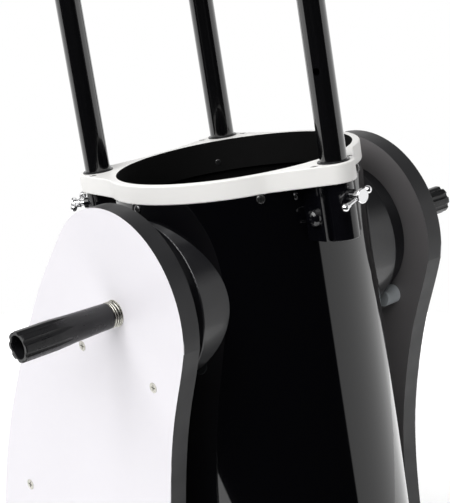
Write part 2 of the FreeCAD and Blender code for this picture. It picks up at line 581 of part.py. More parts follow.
def make_lower_tube():
    ring_low = RING_TOP_Z - RING_HEIGHT
    tube = pipe(TUBE_RADIUS, TUBE_BORE, ring_low - TUBE_REAR_Z, V(0, 0, TUBE_REAR_Z))
    ring = rod_ring(ring_low, RING_HEIGHT, ring_low - 14.0, ring_low)

    bushes = []
    for angle in ROD_ANGLES.values():
        profile = [(ROD_RADIUS + ROD_FIT, ring_low - 7.5), (BUSH_RADIUS - 0.6, ring_low - 7.5),
                   (BUSH_RADIUS - 0.6, RING_TOP_Z), (BUSH_RADIUS + 0.6, RING_TOP_Z),
                   (BUSH_RADIUS + 0.6, RING_TOP_Z + 0.9), (BUSH_RADIUS, RING_TOP_Z + 1.4),
                   (ROD_RADIUS + ROD_FIT, RING_TOP_Z + 1.4)]
        bushes.append(lathe(profile, polar(ROD_CIRCLE, angle)))
    bush_holes = [cylinder(BUSH_RADIUS - 0.6, 60, polar(ROD_CIRCLE, a, ring_low - 20))
                  for a in ROD_ANGLES.values()]

    sleeves = three_ways(sleeve_at_rear())
    knobs = three_ways(side_knob_at_rear())
    spots = lobe_points(LOBE_SCREW_X, LOBE_SCREW_OUT) + lobe_points(-LOBE_SCREW_X, LOBE_SCREW_OUT)
    recess_z = RING_TOP_Z - LOBE_RECESS
    screws = [countersunk_screw(1.8, 26.0, spot + V(0, 0, recess_z), Z_AXIS.negative(), head=3.7)
              for spot in spots]
    recesses = [cylinder(LOBE_RECESS_RADIUS, LOBE_RECESS, spot + V(0, 0, recess_z)) for spot in spots]
    screw_z = RING_TOP_Z + TUBE_SCREW_Z
    for angle in TUBE_SCREW_ANGLES:
        if angle in BEHIND_SLEEVES:
            screws.append(pan_screw(2.0, TUBE_SCREW_LENGTH, polar(RING_OPENING, angle, screw_z), polar(1, angle),
                                    head=3.0, head_height=1.2))
        else:
            screws.append(pan_screw(2.0, TUBE_SCREW_LENGTH, polar(TUBE_RADIUS, angle, screw_z), polar(-1, angle),
                                    head=4.0, head_height=2.0))
    ring = without(ring, bush_holes + screws + recesses)
    sleeves = [without(s, screws + knobs + bushes) for s in sleeves]

    drum = altitude_drum()
    stud_hole = cylinder(STUD_RADIUS + THREAD_FIT, 40, V(TUBE_RADIUS + 2.0, 0, 0), X_AXIS)
    drum_screws = []
    for angle in (45.0, 135.0, 225.0, 315.0):
        a = math.radians(angle)
        y, z = 46.0 * math.cos(a), 46.0 * math.sin(a)
        wall_x = math.sqrt(TUBE_BORE ** 2 - y ** 2)
        drum_screws.append(pan_screw(2.5, 18.0, V(wall_x - 1.0, y, z), X_AXIS, head=4.8, head_height=2.4))
    drum = without(drum, drum_screws + [stud_hole])
    all_drum_screws = drum_screws + [mirrored_x(s) for s in drum_screws]
    tube = without(tube, all_drum_screws + screws)

    nodes = {
        "lower_tube": [tube],
        "lower_rod_ring": [ring],
        "rod_bushes": bushes,
        "rod_sleeves": sleeves,
        "sleeve_knobs": knobs,
        "lower_tube_screws": screws + all_drum_screws,
        "altitude_drums": [drum, mirrored_x(drum)],
    }
    for name, angle in ROD_ANGLES.items():
        nodes["rod_lock_bolt_" + name] = [turn_z(lock_bolt_at_rear(LOCK_TILTS[name]), angle + 90)]
    nodes.update(make_mirror_cell())
    nodes.update(make_tension_handles())
    return {name: [lean(s) for s in solids] for name, solids in nodes.items()}


def make_tension_handles():
    """A moulded hollow handle with open flutes, on a steel stud that screws into the altitude drum."""
    start = PANEL_OUTER_X + HANDLE_START
    end = HANDLE_LENGTH
    profile = [(STUD_RADIUS, 0), (11.4, 0), (12.2, 0.8), (13.4, end * 0.42), (14.5, end * 0.62),
               (14.6, end - 1.2), (14.2, end), (11.2, end), (10.8, end - 1), (9.3, end * 0.35),
               (STUD_RADIUS, end * 0.35)]
    grip = lathe(profile)
    flutes, flute_radius = 8, 3.2
    flute_start, flute_end = V(17.0, 0, end * 0.36), V(15.6, 0, end * 1.02)
    run = flute_end - flute_start
    cutter = cylinder(flute_radius, run.Length, flute_start, run)
    grip = without(grip, [turn_z(cutter, 360.0 * (i + 0.5) / flutes) for i in range(flutes)])
    grip.Placement = FreeCAD.Placement(V(start, 0, 0), FreeCAD.Rotation(Z_AXIS, X_AXIS))
    stud_start = TUBE_RADIUS + 3.0
    stud = cylinder(STUD_RADIUS, start + end * 0.35 - stud_start, V(stud_start, 0, 0), X_AXIS)
    stud = stud.makeChamfer(0.8, [e for e in stud.Edges if e.BoundBox.XMax < stud_start + 0.1])
    return {"tension_handle_right": [grip, stud], "tension_handle_left": [mirrored_x(grip), mirrored_x(stud)]}


# ---- Upper section ----
VANE_ANGLES = [FOCUSER_ANGLE + 45.0 + 90.0 * i for i in range(4)]
HUB_Z = 604.0
HUB_HEIGHT = 26.0


def make_upper_section():
    ring = rod_ring(UPPER_RING_Z, RING_HEIGHT, UPPER_RING_TOP, UPPER_RING_TOP + 14.0)
    tube = pipe(TUBE_RADIUS, TUBE_BORE, TOP_Z - UPPER_RING_TOP, V(0, 0, UPPER_RING_TOP))
    rods = [truss_rod(a) for a in ROD_ANGLES.values()]
    rod_space = [cylinder(ROD_RADIUS, RING_HEIGHT - 3.0, polar(ROD_CIRCLE, a, UPPER_RING_Z))
                 for a in ROD_ANGLES.values()]
    screws = [countersunk_screw(1.8, 9.0, polar(ROD_CIRCLE, a, UPPER_RING_TOP - 0.2), Z_AXIS.negative(), head=3.6)
              for a in ROD_ANGLES.values()]
    for angle in TUBE_SCREW_ANGLES:
        screws.append(pan_screw(2.0, TUBE_SCREW_LENGTH, polar(TUBE_RADIUS, angle, UPPER_RING_TOP + 6.0),
                                polar(-1, angle), head=4.0, head_height=2.0))
    ring = without(ring, rod_space + screws)
    rods = [without(rod, screws) for rod in rods]

    top_ring = lathe([(RING_OPENING, TOP_Z - 12), (TUBE_BORE, TOP_Z - 12), (TUBE_BORE, TOP_Z),
                      (TUBE_RADIUS, TOP_Z), (TUBE_RADIUS, TOP_Z - 12), (124.2, TOP_Z - 12), (124.8, TOP_Z - 11),
                      (124.8, TOP_Z + 5), (123.0, TOP_Z + 7.5), (116.5, TOP_Z + 7.5), (RING_OPENING, TOP_Z + 6)])

    vanes, nuts = [], []
    for angle in VANE_ANGLES:
        vane = block((13.0, -0.6, HUB_Z + 1), (TUBE_BORE - 4.0, 0.6, HUB_Z + HUB_HEIGHT - 1))
        foot = block((TUBE_BORE - 6.0, -4.0, HUB_Z + 5), (TUBE_BORE - 1.0, 4.0, HUB_Z + HUB_HEIGHT - 5))
        vanes += [turn_z(vane, angle), turn_z(foot, angle)]
        outward = polar(1, angle)
        middle = HUB_Z + HUB_HEIGHT / 2
        screw = cylinder(2.0, 14.0, polar(TUBE_BORE - 5.0, angle, middle), outward)
        nut = fluted_knob(6.5, 6.0, 9, 1.5, polar(TUBE_RADIUS, angle, middle), outward)
        nuts.append(fuse([screw, nut]))
    hub = cylinder(14.0, HUB_HEIGHT, V(0, 0, HUB_Z))
    spider = fuse([hub] + vanes)

    toward = polar(1, FOCUSER_ANGLE)
    normal = (toward - Z_AXIS).normalize()
    centre = V(0, 0, FOCUSER_Z)
    flat_thickness = 9.0
    slab_size = 200.0

    def behind(offset, thickness):
        """A slab parallel to the diagonal's face, starting offset behind it."""
        slab = block((-slab_size / 2, -slab_size / 2, -thickness), (slab_size / 2, slab_size / 2, 0))
        slab.Placement = FreeCAD.Placement(centre - normal * offset, FreeCAD.Rotation(Z_AXIS, normal))
        return slab
    diagonal = cylinder(25.0, 120, V(0, 0, FOCUSER_Z - 60)).common(behind(0, flat_thickness))
    holder = cylinder(24.0, 120, V(0, 0, FOCUSER_Z - 60)).common(behind(flat_thickness, 60))
    holder = holder.common(block((-40, -40, FOCUSER_Z - 60), (40, 40, HUB_Z - 8)))
    stem = cylinder(4.0, 16.0, V(0, 0, HUB_Z - 10))
    bolt_head = hex_prism(10, 5, V(0, 0, HUB_Z + HUB_HEIGHT))
    centre_bolt = fuse([cylinder(3.0, HUB_HEIGHT + 6.0, V(0, 0, HUB_Z + 6)), bolt_head])
    grub_screws = [cylinder(2.0, HUB_HEIGHT + 8.0, polar(9.0, FOCUSER_ANGLE + 60 + 120 * i, HUB_Z - 7.9))
                   for i in range(3)]
    spider = without(spider, nuts + grub_screws + [centre_bolt, stem])
    holder = fuse([holder, stem])

    focuser, opening, base_screws = make_focuser()
    nodes = {
        "upper_rod_ring": [ring],
        "upper_tube_screws": screws + base_screws,
        "truss_rods": rods,
        "top_ring": [top_ring],
        "spider": [spider],
        "secondary_holder": [holder],
        "secondary_mirror": [diagonal],
        "spider_screws": nuts + grub_screws + [centre_bolt],
    }
    nodes.update(focuser)
    finder, shoe_screws = make_finder()
    nodes.update(finder)
    nodes["upper_tube"] = [without(tube, nuts + screws + shoe_screws + base_screws + [opening])]
    return {name: [lean(s) for s in solids] for name, solids in nodes.items()}


# ---- Focuser, built along +X and then turned to its place on the tube ----
DRAW_RADIUS = 29.0
DRAW_START, DRAW_END = 124.0, 186.0
HOUSING_START, HOUSING_END = 130.0, 172.0
SHAFT_X = 154.0
SHAFT_RADIUS = 3.0
SHAFT_Z = -(DRAW_RADIUS + SHAFT_RADIUS + 0.35)
EYEPIECE_RADIUS = 15.9
EYEPIECE_DEPTH = 36.0
ADAPTER_END = 216.0


def at_focuser(shape):
    placed = turn_z(shape, FOCUSER_ANGLE)
    placed.translate(V(0, 0, FOCUSER_Z))
    return placed


def make_focuser():
    saddle = block((105, -44, -44), (HOUSING_START, 44, 44))
    saddle = saddle.makeFillet(8.0, [e for e in saddle.Edges if e.BoundBox.XLength > 10])
    saddle = saddle.makeFillet(2.0, [e for e in saddle.Edges if e.BoundBox.XMin > HOUSING_START - 0.01])
    saddle = saddle.cut(cylinder(TUBE_RADIUS, 300, V(0, 0, -150)))
    bore = cylinder(DRAW_RADIUS + 0.35, 200, V(60, 0, 0), X_AXIS)
    base_screws = [pan_screw(2.0, 14.0, V(HOUSING_START, y, z), X_AXIS.negative(), head=3.6, head_height=2.2)
                   for y in (-35, 35) for z in (-35, 35)]
    saddle = without(saddle, [bore] + base_screws)

    barrel = lathe([(0, 0), (36, 0), (36, 4), (34, 6), (34, 38), (33, 42), (0, 42)],
                   V(HOUSING_START, 0, 0), X_AXIS)
    pinion_box = block((143, -19, -46), (165, 19, -20))
    pinion_box = pinion_box.makeFillet(3.0, [e for e in pinion_box.Edges if e.BoundBox.ZMax < -45.9])
    shaft_hole = cylinder(SHAFT_RADIUS + THREAD_FIT, 60, V(SHAFT_X, -30, SHAFT_Z), Y_AXIS)
    lock_hole = cylinder(2.5 + THREAD_FIT, 30, V(SHAFT_X, 0, SHAFT_Z - SHAFT_RADIUS), Z_AXIS.negative())
    housing = without(fuse([barrel, pinion_box]), [bore, shaft_hole, lock_hole])

    draw = lathe([(27.0, DRAW_START), (DRAW_RADIUS, DRAW_START), (DRAW_RADIUS, DRAW_END - 6),
                  (31.5, DRAW_END - 6), (32.0, DRAW_END - 5.5), (32.0, DRAW_END - 0.5), (31.5, DRAW_END),
                  (27.0, DRAW_END)],
                 V(0, 0, 0), X_AXIS)
    adapter = lathe([(EYEPIECE_RADIUS, ADAPTER_END - EYEPIECE_DEPTH), (26.95, ADAPTER_END - EYEPIECE_DEPTH),
                     (26.95, DRAW_END), (29.5, DRAW_END), (30.0, DRAW_END + 0.5), (30.0, DRAW_END + 5),
                     (29, DRAW_END + 6), (22.0, DRAW_END + 6), (22.0, ADAPTER_END - 1), (21.0, ADAPTER_END),
                     (EYEPIECE_RADIUS, ADAPTER_END)], V(0, 0, 0), X_AXIS)
    screw_x = ADAPTER_END - 12.0
    thumb_screws = {}
    for number, angle in ((1, 90.0), (2, 200.0)):
        a = math.radians(angle)
        outward = V(0, math.cos(a), math.sin(a))
        base = V(screw_x, 0, 0) + outward * (EYEPIECE_RADIUS + 0.4)
        shank = cylinder(2.0, 10.0, base, outward)
        head = fluted_knob(5.5, 8.0, 10, 1.1, base + outward * 8.6, outward)
        thumb_screws["eyepiece_screw_%d" % number] = fuse([shank, head])
        adapter = adapter.cut(cylinder(2.0 + THREAD_FIT, 40, V(screw_x, 0, 0), outward))

    shaft = cylinder(SHAFT_RADIUS, 96, V(SHAFT_X, -48, SHAFT_Z), Y_AXIS)
    knobs = []
    for side in (1, -1):
        knob = fluted_knob(17.0, 16.0, 24, 1.6, V(SHAFT_X, side * 32, SHAFT_Z), Y_AXIS * side)
        collar = cylinder(8.0, 8.0, V(SHAFT_X, side * 24.6, SHAFT_Z), Y_AXIS * side)
        knobs.append(fuse([knob, collar]).cut(shaft))
    lock_start = SHAFT_Z - SHAFT_RADIUS - 0.4
    lock = fuse([cylinder(2.5, 16.0, V(SHAFT_X, 0, lock_start), Z_AXIS.negative()),
                 fluted_knob(6.5, 9.0, 12, 1.2, V(SHAFT_X, 0, lock_start - 14.0), Z_AXIS.negative())])
    nodes = {
        "focuser_base": [saddle],
        "focuser_housing": [housing],
        "focuser_drawtube": [draw],
        "eyepiece_adapter": [adapter],
        "focus_knobs": knobs + [shaft],
        "focuser_lock_screw": [lock],
    }
    nodes.update({name: [screw] for name, screw in thumb_screws.items()})
    placed = {name: [at_focuser(s) for s in solids] for name, solids in nodes.items()}
    opening = at_focuser(cylinder(33.0, 60, V(80, 0, 0), X_AXIS))
    return placed, opening, [at_focuser(s) for s in base_screws]


# ---- Finder, built at angle 0 on the tube and then turned ----
FINDER_OUT = 178.0
FINDER_LOW = 500.0


def make_finder():
    shoe_z = FINDER_LOW + 40.0
    shoe = block((100, -20, shoe_z), (130, 20, shoe_z + 60))
    shoe = shoe.makeFillet(5.0, [e for e in shoe.Edges if e.BoundBox.XLength > 10])
    slot = block((124, -10, shoe_z + 4), (131, 10, shoe_z + 70))
    screws = [pan_screw(2.0, 10.0, V(124, 0, shoe_z + z), X_AXIS.negative(), head=3.4, head_height=1.6)
              for z in (14, 48)]
    shoe = without(shoe, [cylinder(TUBE_RADIUS, 800, V(0, 0, 0)), slot] + screws)

    stalk = block((126.5, -9.5, shoe_z + 5), (146, 9.5, shoe_z + 52))
    ring_low, ring_height = shoe_z - 6.0, 70.0
    holder = cylinder(37.0, ring_height, V(FINDER_OUT, 0, ring_low))
    bracket = fuse([stalk, holder])
    window = block((FINDER_OUT - 60, -60, ring_low + 16), (FINDER_OUT + 60, 60, ring_low + ring_height - 16))
    window = window.cut(block((100, -24, 0), (FINDER_OUT - 20, 24, 900)))
    bracket = without(bracket, [cylinder(33.0, 200, V(FINDER_OUT, 0, ring_low - 50)), window])

    screws_out = []
    screw_z = ring_low + 8.0
    for angle in (45.0, -45.0, 180.0):
        outward = polar(1, angle)
        base = V(FINDER_OUT, 0, screw_z) + outward * 26.0
        if angle == 180.0:
            screws_out.append(cylinder(3.0, 9.0, base, outward))
        else:
            head = fluted_knob(5.0, 7.0, 10, 1.0, base + outward * 14.0, outward)
            screws_out.append(fuse([cylinder(2.0, 15.0, base, outward), head]))
    low = FINDER_LOW
    body = lathe([(12.0, low), (15.5, low), (16.5, low + 1), (16.5, low + 18), (19.0, low + 19), (19.0, low + 30),
                  (26.0, low + 42), (26.0, low + 150), (30.5, low + 156), (30.5, low + 205), (29.5, low + 206),
                  (27.5, low + 206), (27.5, low + 158), (24.5, low + 150), (24.5, low + 44), (15.0, low + 28),
                  (12.0, low + 20)], V(FINDER_OUT, 0, 0))
    o_ring = Part.makeTorus(29.6, 3.3, V(FINDER_OUT, 0, ring_low + ring_height - 9.0), Z_AXIS)
    o_ring = o_ring.cut(cylinder(26.0, 300, V(FINDER_OUT, 0, low)))
    objective = lathe([(0, low + 176), (27.5, low + 176), (27.5, low + 181), (20, low + 183), (10, low + 184.2),
                       (0, low + 184.6)], V(FINDER_OUT, 0, 0))
    eye_lens = cylinder(12.0, 4.0, V(FINDER_OUT, 0, low + 6))
    bracket = without(bracket, screws_out + [o_ring])
    shoe = without(shoe, [bracket])
    nodes = {
        "finder_shoe": [shoe],
        "finder_bracket": [bracket],
        "finder_body": [body],
        "finder_lenses": [objective, eye_lens],
        "finder_o_ring": [o_ring],
        "finder_screws": screws_out + screws,
    }
    placed = {name: [turn_z(s, FINDER_ANGLE) for s in solids] for name, solids in nodes.items()}
    return placed, [turn_z(s, FINDER_ANGLE) for s in screws]


# ---- Write one STEP for each node ----
def main():
    os.makedirs("parts", exist_ok=True)
    nodes = {}
    for make in (make_ground_base, make_rocker_box, make_lower_tube, make_upper_section):
        nodes.update(make())
    for name, shapes in nodes.items():
        solids = [solid for shape in shapes for solid in shape.Solids]
        whole = Part.makeCompound(solids)
        whole.exportStep("parts/%s.step" % name)
        box = whole.BoundBox
        state = "valid" if whole.isValid() else "NOT VALID"
        print("%-24s %2d solids %9.1f cm3  z %7.1f..%7.1f  %s"
              % (name, len(solids), whole.Volume / 1000, box.ZMin, box.ZMax, state))
    print(len(nodes), "nodes")


main()
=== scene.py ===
import json
import math
import bmesh
import bpy
from mathutils import Matrix, Vector


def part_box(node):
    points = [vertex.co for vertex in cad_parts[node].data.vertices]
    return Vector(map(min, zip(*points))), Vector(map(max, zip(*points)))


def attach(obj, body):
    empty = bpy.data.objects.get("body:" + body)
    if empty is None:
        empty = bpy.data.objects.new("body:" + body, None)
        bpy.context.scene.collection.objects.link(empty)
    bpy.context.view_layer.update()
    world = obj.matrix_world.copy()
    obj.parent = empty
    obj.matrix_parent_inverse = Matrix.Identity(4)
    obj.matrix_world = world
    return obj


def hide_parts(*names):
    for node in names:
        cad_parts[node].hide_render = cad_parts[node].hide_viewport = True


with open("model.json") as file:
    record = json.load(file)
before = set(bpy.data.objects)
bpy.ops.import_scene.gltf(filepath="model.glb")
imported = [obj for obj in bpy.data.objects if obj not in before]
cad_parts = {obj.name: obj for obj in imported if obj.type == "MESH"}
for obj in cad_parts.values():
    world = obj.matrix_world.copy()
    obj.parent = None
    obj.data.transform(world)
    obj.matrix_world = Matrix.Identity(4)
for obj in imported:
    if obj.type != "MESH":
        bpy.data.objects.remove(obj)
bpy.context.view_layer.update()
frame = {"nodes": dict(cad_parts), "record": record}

NODES = frame["nodes"]


# ---- The frame's own measures ----
JOINTS = {joint["name"]: joint for joint in frame["record"]["behaviour"]["joints"]}
ALTITUDE = Vector(JOINTS["altitude"]["pos_m"])
TUBE_AXIS = Vector(JOINTS["upper_slide"]["axis"]).normalized()
LEAN = math.atan2(TUBE_AXIS.y, TUBE_AXIS.z)
TUBE_FRAME = Matrix.Translation(ALTITUDE) @ Matrix.Rotation(-LEAN, 4, "X")
TUBE_SKIN = 0.1208          # radius between the tube's bore and its outer face
RING_SKIN = 0.1152          # radius just outside the ring's bore
SKIN_BLEND = 0.0001


# ---- Node helpers ----
class Shader:
    """One procedural material, with the usual nodes close at hand."""

    def __init__(self, name, color, roughness, metallic=0.0, coat=0.0, coat_roughness=0.1, specular=0.5):
        self.material = bpy.data.materials.new(name)
        self.material.use_nodes = True
        self.tree = self.material.node_tree
        self.bsdf = self.tree.nodes["Principled BSDF"]
        self.set("Base Color", (*color, 1.0))
        self.set("Roughness", roughness)
        self.set("Metallic", metallic)
        self.set("Coat Weight", coat)
        self.set("Coat Roughness", coat_roughness)
        self.set("Specular IOR Level", specular)
        self.coordinates = self.node("ShaderNodeTexCoord").outputs["Object"]
        self.bump_from = None

    def set(self, socket, value):
        self.bsdf.inputs[socket].default_value = value

    def node(self, kind, **settings):
        made = self.tree.nodes.new(kind)
        for key, value in settings.items():
            setattr(made, key, value)
        return made

    def link(self, output, target):
        self.tree.links.new(output, target)

    def noise(self, scale, detail=4.0, roughness=0.55, vector=None):
        noise = self.node("ShaderNodeTexNoise")
        noise.inputs["Scale"].default_value = scale
        noise.inputs["Detail"].default_value = detail
        noise.inputs["Roughness"].default_value = roughness
        self.link(vector or self.coordinates, noise.inputs["Vector"])
        return noise.outputs["Fac"]

    def spots(self, scale):
        cells = self.node("ShaderNodeTexVoronoi", feature="F1")
        cells.inputs["Scale"].default_value = scale
        self.link(self.coordinates, cells.inputs["Vector"])
        return cells.outputs["Distance"]

    def ramp(self, value, low, high, start=0.0, end=1.0):
        """Maps value from low..high to start..end, clamped."""
        convert = self.node("ShaderNodeMapRange")
        for socket, number in (("From Min", low), ("From Max", high), ("To Min", start), ("To Max", end)):
            convert.inputs[socket].default_value = number
        self.link(value, convert.inputs["Value"])
        return convert.outputs["Result"]

    def combine(self, operation, a, b):
        maths = self.node("ShaderNodeMath", operation=operation)
        for socket, value in ((0, a), (1, b)):
            if isinstance(value, (int, float)):
                maths.inputs[socket].default_value = value
            else:
                self.link(value, maths.inputs[socket])
        return maths.outputs["Value"]

    def mix(self, factor, first, second):
        """A colour between first and second; either is a colour or an output."""
        mixer = self.node("ShaderNodeMix", data_type="RGBA")
        self.link(factor, mixer.inputs["Factor"])
        for socket, value in (("A", first), ("B", second)):
            target = [s for s in mixer.inputs if s.name == socket and s.type == "RGBA"][0]
            if isinstance(value, tuple):
                target.default_value = (*value, 1.0)
            else:
                self.link(value, target)
        return [s for s in mixer.outputs if s.type == "RGBA"][0]

    def color_from(self, output):
        self.link(output, self.bsdf.inputs["Base Color"])

    def roughness_from(self, output):
        self.link(output, self.bsdf.inputs["Roughness"])

    def bump(self, height, strength, distance):
        """Adds a height to the surface; several are chained."""
        bump = self.node("ShaderNodeBump")
        bump.inputs["Strength"].default_value = strength
        bump.inputs["Distance"].default_value = distance
        self.link(height, bump.inputs["Height"])
        if self.bump_from:
            self.link(self.bump_from, bump.inputs["Normal"])
        self.bump_from = bump.outputs["Normal"]
        self.link(self.bump_from, self.bsdf.inputs["Normal"])

    def separate(self, vector):
        split = self.node("ShaderNodeSeparateXYZ")
        self.link(vector, split.inputs["Vector"])
        return split.outputs["X"], split.outputs["Y"], split.outputs["Z"]

    def tube_vector(self):
        """Object coordinates in the tube's own upright frame."""
        moved = self.node("ShaderNodeVectorMath", operation="SUBTRACT")
        moved.inputs[1].default_value = ALTITUDE
        self.link(self.coordinates, moved.inputs[0])
        turn = self.node("ShaderNodeVectorRotate", rotation_type="X_AXIS")
        turn.inputs["Angle"].default_value = LEAN
        self.link(moved.outputs["Vector"], turn.inputs["Vector"])
        return turn.outputs["Vector"]

    def square_to(self, *axes):
        """1 on faces square to one of the row's axes, and 0 elsewhere."""
        split = self.node("ShaderNodeSeparateXYZ")
        self.link(self.node("ShaderNodeTexCoord").outputs["Normal"], split.inputs["Vector"])
        facing = 0.0
        for axis in axes:
            facing = self.combine("MAXIMUM", self.combine("ABSOLUTE", split.outputs[axis], 0.0), facing)
        return self.ramp(facing, 0.995, 0.999)

    def radius(self, vector):
        """The distance of a vector's end from its Z axis."""
        x, y, _ = self.separate(vector)
        squares = self.combine("ADD", self.combine("MULTIPLY", x, x), self.combine("MULTIPLY", y, y))
        return self.combine("SQRT", squares, 0.0)

    def inside_of(self, skin):
        """1 nearer the tube's axis than the skin radius, and 0 beyond it."""
        return self.ramp(self.radius(self.tube_vector()), skin - SKIN_BLEND, skin + SKIN_BLEND, 1.0, 0.0)

    def edge_wear_and_highlight(self, amount=1.0):
        """1 on sharp outer edges and 0 elsewhere, from the mesh's own pointiness; callers paint these edges
        lighter, a painted edge highlight that is partly rubbed wear.
        """
        pointiness = self.node("ShaderNodeNewGeometry").outputs["Pointiness"]
        return self.ramp(pointiness, 0.52, 0.60, 0.0, amount)


# ---- Materials ----
def gloss_tube():
    """Deep gloss black enamel outside, flat black inside."""
    s = Shader("gloss_black_enamel", (0.0045, 0.0045, 0.0055), 0.09,
               coat=1.0, coat_roughness=0.03, specular=0.05)
    inside = s.inside_of(TUBE_SKIN)
    peel = s.noise(160, 2.0)
    dust = s.noise(18, 6.0, 0.7)
    gloss = s.ramp(dust, 0.35, 0.75, 0.06, 0.13)
    s.roughness_from(s.combine("MAXIMUM", gloss, s.combine("MULTIPLY", inside, 0.75)))
    s.color_from(s.mix(inside, (0.0012, 0.0012, 0.0018), (0.003, 0.003, 0.003)))
    s.link(s.ramp(inside, 0.0, 1.0, 1.0, 0.0), s.bsdf.inputs["Coat Weight"])
    s.bump(peel, 0.02, 0.0004)
    return s.material


def white_casting():
    """Off-white satin paint on a casting; the bore of the ring is flat black."""
    s = Shader("off_white_paint", (0.80, 0.79, 0.77), 0.42, coat_roughness=0.3, specular=0.12)
    bore = s.inside_of(RING_SKIN)
    tint = s.mix(s.ramp(s.noise(9, 4.0), 0.35, 0.65), (0.87, 0.86, 0.84), (0.90, 0.89, 0.87))
    s.color_from(s.mix(bore, tint, (0.003, 0.003, 0.003)))
    s.link(s.ramp(bore, 0.0, 1.0, 0.25, 0.0), s.bsdf.inputs["Coat Weight"])
    satin = s.ramp(s.noise(60, 5.0), 0.3, 0.7, 0.36, 0.48)
    s.roughness_from(s.combine("ADD", satin, s.combine("MULTIPLY", bore, 0.3)))
    s.bump(s.noise(900, 3.0), 0.10, 0.00025)
    s.bump(s.noise(45, 3.0), 0.05, 0.0008)
    return s.material


def dark_board():
    """Dark grey laminate with a fine pressed grain, and darker edge banding; the faces' lighter grey is
    partly painted light.
    """
    s = Shader("dark_laminate", (0.06, 0.057, 0.058), 0.42, specular=0.5)
    broad = s.ramp(s.noise(7, 4.0), 0.3, 0.7)
    # Faces square to X are painted a lighter grey than the laminate's own, as painted light for the panels'
    # shaded inner faces; the dark band is the real edge banding.
    face = s.mix(broad, (0.150, 0.143, 0.146), (0.168, 0.161, 0.164))
    band = s.mix(broad, (0.015, 0.015, 0.0165), (0.020, 0.020, 0.0215))
    s.color_from(s.mix(s.square_to("X"), band, face))
    s.roughness_from(s.ramp(s.noise(40, 5.0), 0.3, 0.7, 0.36, 0.50))
    s.bump(s.noise(700, 3.0), 0.16, 0.00025)
    return s.material


def white_laminate():
    """White melamine with a faint cool cast; its cut edge is under the board's dark edge band."""
    s = Shader("white_laminate", (0.86, 0.845, 0.885), 0.38)
    face = s.square_to("X", "Y")
    tint = s.mix(s.ramp(s.noise(5, 5.0), 0.3, 0.7), (0.79, 0.77, 0.81), (0.82, 0.80, 0.84))
    s.color_from(s.mix(face, (0.026, 0.025, 0.026), tint))
    s.roughness_from(s.ramp(s.noise(90, 4.0), 0.3, 0.7, 0.33, 0.45))
    s.bump(s.noise(800, 2.0), 0.08, 0.0002)
    return s.material


def anodised_rod():
    """Satin black anodised tube with fine lengthwise draw lines."""
    s = Shader("black_anodised_rod", (0.0025, 0.0025, 0.003), 0.14,
               coat=1.0, coat_roughness=0.05, specular=0.6)
    lines = s.node("ShaderNodeMapping")
    lines.inputs["Scale"].default_value = (900, 900, 6)
    s.link(s.tube_vector(), lines.inputs["Vector"])
    drawn = s.noise(1.0, 3.0, vector=lines.outputs["Vector"])
    s.roughness_from(s.ramp(drawn, 0.3, 0.7, 0.10, 0.20))
    s.bump(drawn, 0.05, 0.0002)
    return s.material


def gloss_plastic():
    s = Shader("gloss_black_plastic", (0.002, 0.002, 0.003), 0.14,
               coat=0.7, coat_roughness=0.10, specular=0.3)
    s.roughness_from(s.ramp(s.noise(50, 5.0), 0.3, 0.75, 0.10, 0.22))
    s.bump(s.noise(240, 3.0), 0.05, 0.0003)
    return s.material


def satin_plastic():
    """Moulded black plastic with a slight grain."""
    s = Shader("satin_black_plastic", (0.005, 0.005, 0.006), 0.30)
    s.color_from(s.mix(s.ramp(s.noise(30, 4.0), 0.3, 0.7), (0.004, 0.004, 0.005), (0.007, 0.007, 0.008)))
    s.roughness_from(s.ramp(s.noise(70, 5.0), 0.3, 0.7, 0.24, 0.36))
    s.bump(s.noise(1200, 3.0), 0.14, 0.0002)
    return s.material


def matte_plastic():
    """Matte moulded bearing plastic."""
    s = Shader("matte_black_plastic", (0.012, 0.012, 0.014), 0.40,
               coat=0.7, coat_roughness=0.14, specular=0.35)
    s.color_from(s.mix(s.ramp(s.noise(12, 4.0), 0.3, 0.7), (0.005, 0.005, 0.007), (0.009, 0.009, 0.011)))
    s.roughness_from(s.ramp(s.noise(60, 5.0), 0.3, 0.7, 0.34, 0.46))
    s.bump(s.noise(1000, 3.0), 0.2, 0.00025)
    return s.material


def chrome():
    s = Shader("polished_chrome", (0.86, 0.86, 0.87), 0.09, metallic=1.0)
    s.roughness_from(s.ramp(s.noise(300, 4.0), 0.3, 0.8, 0.05, 0.16))
    # Sharp edges painted brighter: a painted edge highlight.
    s.color_from(s.mix(s.edge_wear_and_highlight(0.5), (0.84, 0.84, 0.85), (0.95, 0.95, 0.95)))
    return s.material


def nickel_steel():
    """Plated spring steel, slightly warm."""
    s = Shader("plated_steel", (0.46, 0.45, 0.41), 0.25, metallic=1.0)
    s.color_from(s.mix(s.ramp(s.noise(220, 4.0), 0.3, 0.7), (0.40, 0.39, 0.35), (0.56, 0.55, 0.50)))
    s.roughness_from(s.ramp(s.noise(400, 4.0), 0.3, 0.7, 0.18, 0.34))
    return s.material


def dark_screw_steel():
    s = Shader("black_oxide_steel", (0.02, 0.02, 0.021), 0.22, metallic=0.6, coat=0.4)
    s.roughness_from(s.ramp(s.noise(500, 3.0), 0.3, 0.7, 0.16, 0.30))
    # Sharp edges painted lighter: partly rubbed wear, partly a painted edge highlight.
    s.color_from(s.mix(s.edge_wear_and_highlight(), (0.016, 0.016, 0.017), (0.10, 0.10, 0.10)))
    return s.material


